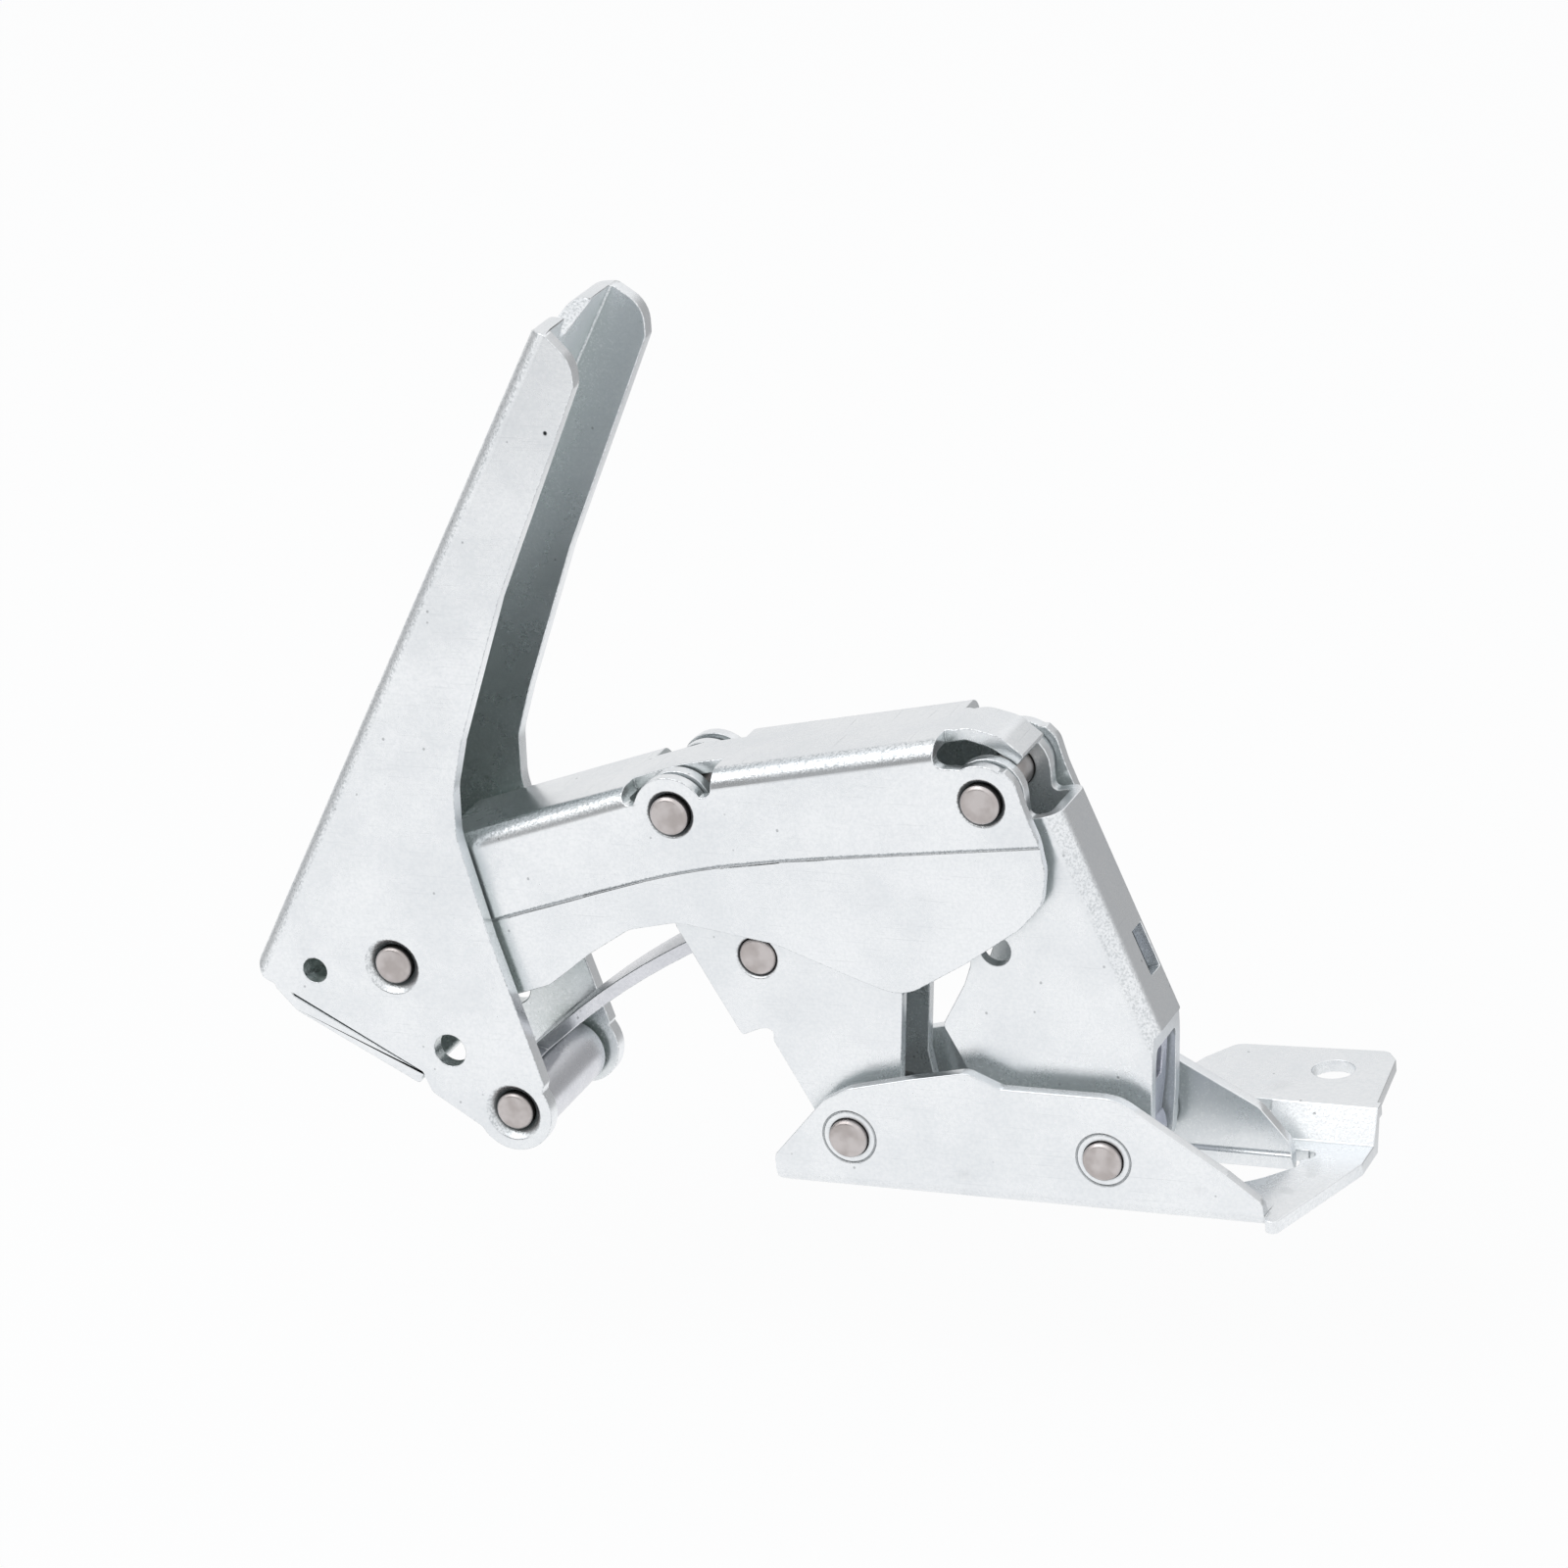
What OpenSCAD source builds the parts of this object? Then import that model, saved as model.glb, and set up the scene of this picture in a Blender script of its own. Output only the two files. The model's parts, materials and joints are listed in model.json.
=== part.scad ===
// Seven-pivot hinge for a built-in fridge door, half open.
// X runs along the door plate from its inner pivot, Y is across the hinge, Z is up from its underside.
// The sheet-metal links are symmetric about Y = 0, and every pin lies along Y.

/* [Sheet] */
// Thickness of the cabinet bracket's sheet
bracket_sheet = 2.5; // [1.5:0.1:3]
// Thickness of the main arm's sheet
arm_sheet = 2; // [1.5:0.1:2.5]
// Thickness of the door plate's sheet
plate_sheet = 2; // [1.5:0.1:2.5]
// Thickness of the cross link's and the outer lever's sheet
link_sheet = 2; // [1.5:0.1:2.4]
// Thickness of the curved link's strip
strap_sheet = 2; // [1.2:0.1:2.4]
// Outside radius of the folds
fold_r = 3; // [2.6:0.1:4]

/* [Widths] */
// Outside width of the cabinet bracket
bracket_w = 26.5; // [25:0.5:32]
// Outside width of the door plate's channel
plate_w = 22.5; // [22:0.1:24]
// Side play between the bracket and the main arm
arm_play = 0.5; // [0.3:0.1:1]
// Thickness of the washers between the main arm and the cross link
washer_c_t = 1.25; // [0.8:0.05:1.5]
// Thickness of the washers between the main arm and the outer lever
washer_d_t = 1.55; // [0.8:0.05:1.8]

/* [Pins] */
// Diameter of the pivot pins
pin_d = 6; // [5:0.1:6.4]
// Running clearance of a pin in its hole, on the radius
pin_fit = 0.05; // [0.02:0.01:0.1]
// How far the arm's and the plate's pins stand out of the walls
pin_proud = 1.1; // [0.5:0.1:2]
// Chamfer at a pin's ends
pin_chamfer = 0.4; // [0.1:0.1:0.8]
// Side clearance of each washer, link end and eye
side_fit = 0.05; // [0.02:0.01:0.15]
// Outside diameter of the washers
washer_d = 10; // [9:0.5:11]

/* [Pivots] */
// Bracket's upper pivot, along
a_x = -72; // [-73.5:0.1:-70.5]
// Bracket's upper pivot, up
a_z = 31.8; // [31:0.1:33]
// Bracket's lower pivot, along
b_x = -54.2; // [-55.5:0.1:-52.5]
// Bracket's lower pivot, up
b_z = 9; // [8:0.1:10]
// Arm's inner pivot, along
c_x = -24.5; // [-26.5:0.1:-22.5]
// Arm's inner pivot, up
c_z = 58.8; // [58:0.1:60]
// Arm's outer pivot, along
d_x = 24.8; // [23.5:0.1:26.5]
// Arm's outer pivot, up
d_z = 63.9; // [63:0.1:65]
// Curved link's pivot on the cross link, along
e_x = -14.2; // [-15.5:0.1:-12.5]
// Curved link's pivot on the cross link, up
e_z = 35.2; // [34:0.1:36]
// Door plate's outer pivot, along from its inner one
g_x = 40; // [38.5:0.1:41.5]
// Height of the door plate's pivots over its underside
plate_pivot_z = 9; // [8.6:0.1:10]

/* [Door plate] */
// Length of the door plate's channel
plate_l = 76; // [74:0.5:80]
// Distance from the inner pivot to the channel's left end
plate_end = 11.5; // [10.5:0.1:13]
// Height of the side walls over the underside
wall_h = 19; // [18:0.5:21]
// Height of the screw flange's underside over the channel's underside
flange_rise = 4.9; // [3.5:0.1:6]
// Diameter of the screw hole
screw_hole_d = 6.6; // [4:0.1:8]
// Distance of the screw hole behind the centre plane
screw_y = 30.3; // [28:0.1:33]
// Distance of the screw hole right of the outer pivot
screw_x_off = 22.5; // [20:0.1:24]

/* [Bracket] */
// Slope of the bracket's back against the door plate
bracket_slope = 60.8; // [60:0.1:62]
// Distance from the upper pivot to the outside of the bracket's back
bracket_back = 20.2; // [19.5:0.1:21]
// Reach of the bracket's tip above the upper pivot, along the slope
bracket_reach = 105.5; // [95:0.5:120]
// Diameter of the small side hole
small_hole_d = 4; // [2.5:0.1:5]
// Diameter of the large side hole
large_hole_d = 5.2; // [3:0.1:6]

/* [Motion gaps] */
// Free play in the curved link's eye at the cross link
eye_play = 1.2; // [1.2:0.1:1.5]
// Free play round the door plate's inner pin, in the cross link's slots
slot_play = 0.4; // [0.3:0.1:0.8]

/* [Hidden] */
$fn = 48;
over = 1;
arc_steps = 6;

A = [a_x, a_z];
B = [b_x, b_z];
C = [c_x, c_z];
D = [d_x, d_z];
E = [e_x, e_z];
F = [0, plate_pivot_z];
G = [g_x, plate_pivot_z];

pin_r = pin_d / 2;
hole_r = pin_r + pin_fit;
arm_w = bracket_w - 2 * (bracket_sheet + arm_play);
cross_w = arm_w - 2 * (arm_sheet + washer_c_t + 2 * side_fit);
lever_w = arm_w - 2 * (arm_sheet + washer_d_t + 2 * side_fit);
plate_in = plate_w - 2 * plate_sheet;
strap_w = cross_w - 2 * (link_sheet + 2 * side_fit);
bracket_in = bracket_w - 2 * bracket_sheet;
// Longer than any wall is deep
far = norm(D - A);

// A point set off from a pivot, dx along and dz up
function off(p, dx, dz) = [p[0] + dx, p[1] + dz];
function unit(v) = v / norm(v);
function turned(v, a) = [v[0] * cos(a) - v[1] * sin(a), v[0] * sin(a) + v[1] * cos(a)];
function cross2(a, b) = a[0] * b[1] - a[1] * b[0];
// Arc that rounds the corner p between a and b with radius r
function corner(a, p, b, r) =
    let(u = unit(a - p), v = unit(b - p),
        half = acos(max(-1, min(1, u * v))) / 2,
        centre = p + unit(u + v) * r / sin(half),
        start = p + u * r / tan(half),
        sweep = (cross2(u, v) > 0 ? -1 : 1) * (180 - 2 * half))
    [for (i = [0:arc_steps]) centre + turned(start - centre, sweep * i / arc_steps)];
// Outline whose points are [point, corner radius], with each corner rounded
function rounded(pts) = [for (i = [0:len(pts) - 1])
    let(n = len(pts), a = pts[(i + n - 1) % n], p = pts[i], b = pts[(i + 1) % n])
    each p[1] > 0 ? corner(a[0], p[0], b[0], p[1]) : [p[0]]];

// Extrudes a shape drawn in X and Z between two planes across the hinge
module across(y_low, y_high) {
    translate([0, y_high, 0])
        rotate([90, 0, 0])
            linear_extrude(y_high - y_low)
                children();
}

// The same shape on both side walls of a channel of width w
module both_walls(w, sheet) {
    across(-w / 2, sheet - w / 2)
        children();
    across(w / 2 - sheet, w / 2)
        children();
}

module disc_at(p, r) {
    translate(p)
        circle(r);
}

// Cylinder along Y between two planes, at a point of the X-Z plane
module rod(p, r, y_low, y_high) {
    translate([p[0], y_high, p[1]])
        rotate([90, 0, 0])
            cylinder(h = y_high - y_low, r = r);
}

module cone_at(p, r_low, r_high, y_low, y_high) {
    translate([p[0], y_high, p[1]])
        rotate([90, 0, 0])
            cylinder(h = y_high - y_low, r1 = r_high, r2 = r_low);
}

// Countersink in both outer faces of a channel: radius r outside, hole_r at the depth
module countersinks(p, r, depth, w) {
    cone_at(p, r, hole_r, -w / 2, depth - w / 2);
    cone_at(p, hole_r, r, w / 2 - depth, w / 2);
}

// Section of a block whose web lies on X = 0, with its two corners there rounded
module block_section(w, depth, r) {
    translate([r, -w / 2])
        square([depth - r, w]);
    translate([0, r - w / 2])
        square([depth, w - 2 * r]);
    for (side = [-1, 1])
        translate([r, side * (w / 2 - r)])
            circle(r);
}

// Long block under the line from p0 to p1, inset from its outside, with the folds rounded
module folded_block(p0, p1, w, reach, inset) {
    run = p1 - p0;
    slope = atan2(run[1], run[0]);
    translate([p0[0], 0, p0[1]])
        rotate([0, 90 - slope, 0])
            translate([inset, 0, -reach])
                linear_extrude(norm(run) + 2 * reach)
                    block_section(w - 2 * inset, reach, fold_r - inset);
}

// U section: web on the local YZ plane at X = 0, walls towards +X, folds rounded
module u_section(w, depth, sheet) {
    difference() {
        block_section(w, depth, fold_r);
        translate([sheet, 0])
            block_section(w - 2 * sheet, depth, fold_r - sheet);
    }
}

// Folded channel whose web runs from p0 to p1, with the walls on the right of that direction
module channel(p0, p1, w, depth, sheet) {
    run = p1 - p0;
    slope = atan2(run[1], run[0]);
    translate([p0[0], 0, p0[1]])
        rotate([0, 90 - slope, 0])
            linear_extrude(norm(run))
                u_section(w, depth, sheet);
}

// Straight pin across the hinge, chamfered at both ends
module pin(p, half) {
    rod(p, pin_r, pin_chamfer - half, half - pin_chamfer);
    cone_at(p, pin_r - pin_chamfer, pin_r, -half, pin_chamfer - half);
    cone_at(p, pin_r, pin_r - pin_chamfer, half - pin_chamfer, half);
}

// Washer on a pin: outer_y is its face away from the centre plane, side is -1 or 1
module washer(p, outer_y, t, side) {
    low = side < 0 ? -outer_y : outer_y - t;
    difference() {
        rod(p, washer_d / 2, low, low + t);
        rod(p, hole_r, low - over, low + t + over);
    }
}

// Door plate: channel with low side walls, a web running out to the right and a raised screw flange
plate_left = -plate_end;
plate_right = plate_left + plate_l;
web_right = plate_right + 8.5;
step_y = plate_w / 2 + 4;
flange_y = step_y + 3;
flange_back = screw_y + 8;
relief = [plate_right - 0.6, plate_in / 2 + 1.3];
// Outline of a side wall; the front one runs further right than the back one
function side_wall(front) = [[[plate_left + 1, 0], 1], [[plate_left - 0.9, 0.6], 1],
    [[plate_left - 0.9, 4.9], 1.5], [off(F, -3.8, 5.6), 6], [off(F, 0.4, 7.9), 6],
    [off(F, 10.8, 10.4), 6], [[19.4, wall_h + 2.2], 3], [[24.6, wall_h], 2],
    [off(G, front ? 2.6 : 0.6, wall_h - plate_pivot_z), 8],
    [off(G, front ? 18.7 : 17.5, front ? -0.7 : 0.7), 3],
    [[plate_right - (front ? 0.5 : 2.8), front ? 4.2 : 4.5], 1.5],
    [[plate_right - (front ? 0 : 1.8), 0], 0]];

module plate_channel() {
    intersection() {
        channel([plate_right, 0], [plate_left - over, 0], plate_w, wall_h + 4, plate_sheet);
        union() {
            across(-plate_w / 2, 0)
                polygon(rounded(side_wall(true)));
            across(0, plate_w / 2)
                polygon(rounded(side_wall(false)));
        }
    }
}

module plate_web() {
    front_y = -plate_w / 2;
    lap = [plate_right - 4, plate_in / 2 - 0.6];
    linear_extrude(plate_sheet)
        polygon(rounded([[[plate_right - 10, front_y + fold_r], 0],
            [[plate_right - 1, front_y + fold_r], 0], [[plate_right, front_y - 0.6], 0],
            [[plate_right + 1.6, front_y - 1.4], 1], [[web_right, plate_in / 2], 2],
            [[web_right, step_y + plate_sheet], 0], [[plate_right - 8, step_y + plate_sheet], 0],
            [[plate_right - 8, plate_w / 2 + 0.8], 0.8], [[relief[0], plate_w / 2 + 0.8], 0],
            [[relief[0], lap[1]], 0], [lap, 0], [[lap[0], 0], 0]]));
}

module plate_step() {
    step_l = plate_right - 8;
    translate([step_l, 0, 0])
        rotate([90, 0, 90])
            linear_extrude(web_right - step_l)
                polygon([[step_y, 0], [step_y + plate_sheet * 0.9, 0], [flange_y + 0.6, flange_rise],
                    [flange_y + 2, flange_rise], [flange_y + 2, flange_rise + plate_sheet],
                    [flange_y, flange_rise + plate_sheet], [step_y, plate_sheet]]);
}

module plate_flange() {
    left = g_x + 1;
    translate([0, 0, flange_rise])
        linear_extrude(plate_sheet)
            polygon(rounded([[[left + 12, flange_y], 0], [[web_right - 0.4, flange_y], 0],
                [[web_right - 2.2, flange_back - 2.8], 1], [[web_right - 4.2, flange_back], 1.5],
                [[left + 4.3, flange_back - 1.6], 2.5], [[left + 0.8, flange_back - 7.5], 4],
                [[left - 0.6, flange_back - 12], 3], [[left + 2, flange_y], 2]]));
}

// Opening in the web, straight along the rear wall, which lets the lever in and narrows to the right
module plate_lens() {
    back = plate_in / 2 - 0.4;
    front = lever_w / 2 + 0.8;
    translate([0, 0, -over])
        linear_extrude(plate_sheet + 2 * over)
            polygon(rounded([[[g_x - 27, back], 2], [[relief[0] - 0.4, back], 0.5],
                [[relief[0] + 0.2, back - 2], 2.5], [[g_x + 18, -0.4], 12], [[g_x + 7, -3.8], 8],
                [[g_x + 2, -front], 3], [[g_x - 27, -front], 3]]));
}

module door_plate() {
    color("gainsboro")
        difference() {
            union() {
                plate_channel();
                plate_web();
                plate_step();
                plate_flange();
            }
            plate_lens();
            translate([relief[0], relief[1], -over])
                cylinder(h = plate_sheet + 2 * over, r = 1.4);
            translate([g_x + screw_x_off, screw_y, flange_rise - over])
                cylinder(h = plate_sheet + 2 * over, d = screw_hole_d);
            for (p = [F, G]) {
                rod(p, hole_r, -plate_w, plate_w);
                ring_grooves(p, plate_w);
            }
        }
}

// Fine coined ring round a riveted pin, on both outer faces
module ring_grooves(p, w) {
    for (side = [-1, 1]) {
        low = side < 0 ? -w / 2 - over : w / 2 - 0.2;
        difference() {
            rod(p, pin_r + 1.25, low, low + over + 0.2);
            rod(p, pin_r + 1.05, low - over, low + 2 * over);
        }
    }
}

// Outer lever: channel with its web on the outside, from the plate's outer pin to the arm's outer pin
lever_top = off(D, 10, -1.4);
lever_foot = off(G, 8, 18.2);
lever_out = unit(lever_foot - lever_top);
lever_ear = 5.5;
lever_wall = [[off(D, lever_ear, lever_ear), lever_ear - 0.1], [off(D, lever_ear, -3.6), 1],
    [lever_top + lever_out * 1.2, 0],
    [lever_foot, 0], [lever_foot + [-0.8, -0.6], 0.5], [off(G, 6.2, 4.5), 2], [off(G, 5.2, -3.2), 3],
    [off(G, 0, -6.4), 4], [off(G, -5, -4.6), 4], [off(G, -18.8, 7.9), 2], [off(G, -21.7, 10), 4],
    [off(G, -25.4, 17.5), 1.5], [off(G, -21.5, 24.3), 3], [off(G, -20.3, 27.5), 2],
    [off(D, -4.5, -20), 6], [off(D, -lever_ear, -2), 0], [off(D, -lever_ear, lever_ear), lever_ear - 0.1]];

module outer_lever() {
    color("silver")
        difference() {
            intersection() {
                folded_block(lever_top, lever_foot, lever_w, far, 0);
                across(-lever_w, lever_w)
                    polygon(rounded(lever_wall));
            }
            folded_block(lever_top, lever_foot, lever_w, far, link_sheet);
            rod(D, hole_r, -arm_w, arm_w);
            rod(G, hole_r, -arm_w, arm_w);
            rod(off(D, -1, -24.7), 2.4, -arm_w, arm_w);
            lever_slot();
        }
}

// Slot through the lever's web, near its lower end
slot_long = 7.2;
slot_wide = 3.9;
module lever_slot() {
    run = lever_foot - lever_top;
    slope = atan2(run[1], run[0]);
    mid = lever_foot - lever_out * 11;
    translate([mid[0], 0, mid[1]])
        rotate([0, 90 - slope, 0])
            translate([-over, 0, -slot_long / 2])
                cube([link_sheet + 2 * over, slot_wide, slot_long]);
}

// Inner strip of the lever: rolled round the plate's outer pin, then up behind the lever's web
strip_w = lever_w - 2 * (fold_r + side_fit);
strip_t = 1.4;
strip_rise = 17;
strip_in = link_sheet + 0.25;
module lever_strip() {
    web_in = turned(lever_out, -90) * strip_in;
    back_in = turned(lever_out, -90) * (strip_in + strip_t);
    top = lever_foot - lever_out * strip_rise + web_in;
    top_b = lever_foot - lever_out * strip_rise + back_in;
    low = lever_foot + lever_out * 1 + web_in;
    low_b = lever_foot + lever_out * 1 + back_in;
    color("lavender")
        difference() {
            union() {
                across(-strip_w / 2, strip_w / 2)
                    polygon([top, low, off(G, 5.2, 7), off(G, 4.2, 1.5), off(G, 3.4, 1.5), off(G, 3.8, 6.6),
                        low_b, top_b]);
                rod(G, pin_r + strip_t + 0.6, -strip_w / 2, strip_w / 2);
            }
            rod(G, hole_r, -arm_w, arm_w);
            translate([g_x + 3, -1.2, plate_pivot_z + 9])
                cube([8, 2.4, 5]);
        }
}

// Main arm: channel with its web on top, in two straight runs that meet over the inner pin
arm_left = off(A, 7.2, 19.4);
arm_knee = off(C, 0, 5.8);
arm_right = off(D, -6.8, 9);
arm_end = off(D, 9.2, 11.9);
ear_r = 5.8;
// The round ears stand a little proud of the walls, as coined rivet seats do
ear_w = arm_w + 0.1;
arm_wall = [[arm_left, 2], [arm_knee, 0], [arm_right, 4], [off(D, 1, 7.8), 3], [off(D, 5.4, 3.4), 3],
    [off(D, 6.4, -0.5), 3], [off(D, 8.2, -5.5), 4], [off(D, 8.9, -10.3), 4], [off(D, 8.1, -15.5), 5],
    [off(D, 4.4, -19.6), 6], [off(D, -4.4, -25.7), 6], [off(D, -14.9, -32), 7],
    [off(D, -22.4, -29.5), 8], [off(C, 14.8, -19.9), 12], [off(C, -0.8, -17.6), 8],
    [off(C, -8.9, -19.4), 5], [off(C, -15.8, -23.9), 6], [off(C, -23, -29.6), 5],
    [off(A, 18.7, -4.6), 6], [off(A, 2, -7.4), 3], [off(A, -6.6, -3.2), 3], [off(A, -6.8, 3), 3]];

module arm_shape() {
    polygon(rounded(arm_wall));
    disc_at(A, 7.5);
}

// Half the width of the web that is left between the openings
open_half = strap_w / 2 - 0.3;
// Openings in the web beside the ears of the inner and outer pins, on both sides
module arm_openings() {
    deep = arm_w / 2 - open_half;
    for (side = [-1, 1]) {
        low = side < 0 ? -arm_w / 2 - over : arm_w / 2 - deep;
        across(low, low + deep + over) {
            polygon(rounded([[off(C, -8, 8), 0], [off(C, -8, 0.6), 1.5], [off(C, 6.8, 3.3), 1.5],
                [off(C, 6.8, 12), 0]]));
            polygon(rounded([[off(D, -7, 12), 0], [off(D, -7, 5), 1.5], [off(D, 14, 5), 0],
                [off(D, 14, 12), 0]]));
        }
    }
}

// Tongue at the end of the web, bent down over the outer pin
module arm_tongue() {
    across(-open_half, open_half)
        polygon(rounded([[off(D, -8.5, 8), 0], [off(D, -3.5, 9.4), 6], [off(D, 1.5, 8.2), 5],
            [off(D, 5, 5.4), 0.4], [off(D, 3.8, 3.8), 0.4], [off(D, 0, 6.4), 5], [off(D, -4, 7.4), 5],
            [off(D, -8.5, 7.2), 0]]));
}

// Solid along both runs of the arm's web, inset from its outside, with rounded folds
module arm_block(inset) {
    intersection() {
        folded_block(arm_left, arm_knee, arm_w, far, inset);
        folded_block(arm_knee, arm_end, arm_w, far, inset);
    }
}

module arm_fold() {
    difference() {
        intersection() {
            arm_block(0);
            across(-arm_w, arm_w)
                arm_shape();
        }
        arm_block(arm_sheet);
    }
}

module main_arm() {
    color("whitesmoke")
        difference() {
            union() {
                difference() {
                    arm_fold();
                    arm_openings();
                }
                both_walls(ear_w, arm_sheet) {
                    disc_at(C, ear_r);
                    disc_at(D, ear_r);
                }
                arm_tongue();
            }
            for (p = [A, C, D])
                rod(p, hole_r, -bracket_w, bracket_w);
            for (p = [C, D])
                countersinks(p, pin_r + 0.75, 0.8, ear_w);
        }
}

// Cross link: two side walls from the arm's inner pin down to the plate's inner pin, joined low on the left
cross_wall = [[off(C, -5.5, -1), 0], [off(E, -12.7, 4.1), 0], [off(E, -3.6, -13), 0.5],
    [off(E, -0.5, -11.7), 1], [off(E, 1.8, -11.4), 1], [off(E, 1.4, -13.4), 1], [off(F, -7.3, 2.2), 2],
    [off(F, -6, -2), 3], [off(F, -3, -5), 3], [off(F, 1.5, -5.2), 4], [off(F, 6, -4.9), 3],
    [off(F, 8.6, -1.5), 3], [off(F, 7.2, 7.6), 0], [off(F, 8.7, 22), 3], [off(F, 8.6, 25), 4],
    [off(C, 5.5, -1), 0]];

// Slot round the plate's inner pin, which the fold carries along two short paths
slot_r = pin_r + slot_play;
slot_close = [3.35, 0.4];
slot_open = [2.6, -2.15];
module slot_band(to) {
    side = turned(unit(to), 90) * slot_r;
    polygon([F + side, F + to + side, F + to - side, F - side]);
}

module pin_slot() {
    across(-arm_w, arm_w) {
        disc_at(F, slot_r);
        disc_at(F + slot_close, slot_r);
        disc_at(F + slot_open, slot_r);
        slot_band(slot_close);
        slot_band(slot_open);
    }
}

module cross_link() {
    color("gainsboro")
        difference() {
            union() {
                both_walls(cross_w, link_sheet) {
                    polygon(rounded(cross_wall));
                    disc_at(C, 5.6);
                }
                cross_web();
            }
            for (p = [C, E])
                rod(p, hole_r, -arm_w, arm_w);
            countersinks(E, pin_r + 0.4, 0.4, cross_w);
            pin_slot();
        }
}

module cross_web() {
    top = off(E, 1.4, -13.4);
    foot = off(F, -7.3, 2.2);
    down = unit(foot - top);
    inside = turned(down, 90) * link_sheet;
    across(-cross_w / 2, cross_w / 2)
        polygon([top + down * 1.5, foot, foot + inside, top + down * 1.5 + inside]);
}

// Cabinet bracket: long tapered channel, open towards the arm, with a tab folded in under its foot
back_dir = [cos(bracket_slope), sin(bracket_slope)];
back_in = turned(back_dir, -90);
function on_bracket(along, inward) = A + back_dir * along + back_in * (inward - bracket_back);
bracket_foot = on_bracket(-22, 0);
bracket_tip = on_bracket(bracket_reach, 0);
// Outline of a side wall; extra widens the back wall's upper part
function bracket_wall(extra) = [[bracket_tip, 1.5], [bracket_tip + [2.6 + extra / 2, -0.2], 2],
    [bracket_tip + [6.5 + 1.2 * extra, -4.4 + extra], 5],
    [bracket_tip + [6.6 + extra, -8], 2], [off(B, 6.9 + extra, 83.3), 0],
    [off(B, -1.9 + extra / 2, 60.1), 8], [off(B, -4, 52.5), 8], [off(B, -4.4, 45), 10],
    [off(B, -0.7, 28.4), 12], [off(B, 5.6 + extra / 2, 5), 0], [off(B, 3, -3), 0], [off(B, -4.5, -3.6), 0],
    [off(B, -13.4, 2.2), 1.5], [off(B, -14.8, 5.5), 0], [off(A, -17.6, -5.9), 1.5],
    [off(A, -22.6, -3.6), 2], [off(A, -23.9, -1), 2]];
wall_extra = 1.1;

module bracket_shape(extra) {
    polygon(rounded(bracket_wall(extra)));
    disc_at(off(B, extra * 0.8, extra * 0.6), 6.3);
}

// Tab under the foot, with a fine slit between it and the side walls' lower edges
module bracket_tab() {
    slit = 0.25;
    along = unit(off(B, -14.6, 5.6) - off(A, -17.6, -5.9));
    down = turned(along, -90);
    start = off(A, -17.6, -5.9) + down * slit;
    stop = off(B, -14.6, 5.6) + down * slit + along * 0.3;
    across(-bracket_w / 2, bracket_w / 2)
        polygon(rounded([[off(A, -21, -3.4), 0], [off(A, -18.4, -4.6), 0], [start + along * 0.3, 0],
            [stop, 0.3], [stop + down * 2, 0.5], [start + down * 2.1 + along * 1.6, 1.5],
            [off(A, -20.4, -5.2), 1]]));
}

// Stepped notch in the tip of the bracket's back
module bracket_notch() {
    translate([bracket_tip[0], 0, bracket_tip[1]])
        rotate([0, 90 - bracket_slope, 0])
            translate([-over, 0, 0])
                rotate([90, 0, 90])
                    linear_extrude(bracket_sheet + 2 * over)
                        polygon([[-5.6, 3], [-5.2, -0.5], [-3.6, -3], [-1.6, -3.2], [0.6, -1.4], [4, 0.6],
                            [4.2, 3]]);
}

module cabinet_bracket() {
    color("whitesmoke")
        difference() {
            union() {
                intersection() {
                    channel(bracket_foot, bracket_tip + back_dir * 3, bracket_w, far, bracket_sheet);
                    union() {
                        across(-bracket_w / 2, 0)
                            bracket_shape(0);
                        across(0, bracket_w / 2)
                            bracket_shape(wall_extra);
                    }
                }
                bracket_tab();
            }
            for (p = [A, B]) {
                rod(p, hole_r, -bracket_w, bracket_w);
                countersinks(p, pin_r + 1.5, 1.5, bracket_w);
            }
            rod(off(A, -13.3, -1.7), small_hole_d / 2, -bracket_w, bracket_w);
            rod(off(B, -9.6, 9.5), large_hole_d / 2, -bracket_w, bracket_w);
            bracket_notch();
        }
}

// Curved link: strap from a wide rolled eye on the bracket's lower pin, arched over to the cross link
eye_r = pin_r + strap_sheet + 0.3;
eye_e = E + [0.5, 0.75];
eye_e_r = pin_r + eye_play;
eye_wall = strap_sheet - 0.3;
module curved_link() {
    eye_w = bracket_in - 4 * arm_play;
    color("lightgray")
        difference() {
            union() {
                across(-strap_w / 2, strap_w / 2)
                    strap_shape();
                across(-eye_w / 2, eye_w / 2)
                    intersection() {
                        union() {
                            disc_at(B, eye_r);
                            strap_shape();
                        }
                        disc_at(B, eye_r + 2.2);
                    }
                rod(eye_e, eye_e_r + eye_wall, -strap_w / 2, strap_w / 2);
            }
            rod(B, hole_r, -bracket_w, bracket_w);
            rod(eye_e, eye_e_r, -arm_w, arm_w);
        }
}

// Side view of the strap: an arched band whose ends run into the two eyes
module strap_shape() {
    chord = eye_e - B;
    tangent = unit(chord);
    normal = turned(tangent, 90);
    start = B + normal * (eye_r - strap_sheet);
    stop = eye_e + normal * (eye_e_r + eye_wall - strap_sheet);
    rise = 2;
    n = 12;
    low = [for (i = [0:n]) start + (stop - start) * i / n + normal * rise * sin(180 * i / n)];
    high = [for (p = low) p + normal * strap_sheet];
    polygon(concat(low, [for (i = [n:-1:0]) high[i]]));
}

module plate_pin_inner() {
    color("rosybrown")
        pin(F, plate_w / 2 + pin_proud);
}

module plate_pin_outer() {
    color("rosybrown")
        pin(G, plate_w / 2 + pin_proud);
}

module arm_pin_inner() {
    color("rosybrown")
        pin(C, arm_w / 2 + pin_proud - 0.1);
}

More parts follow.
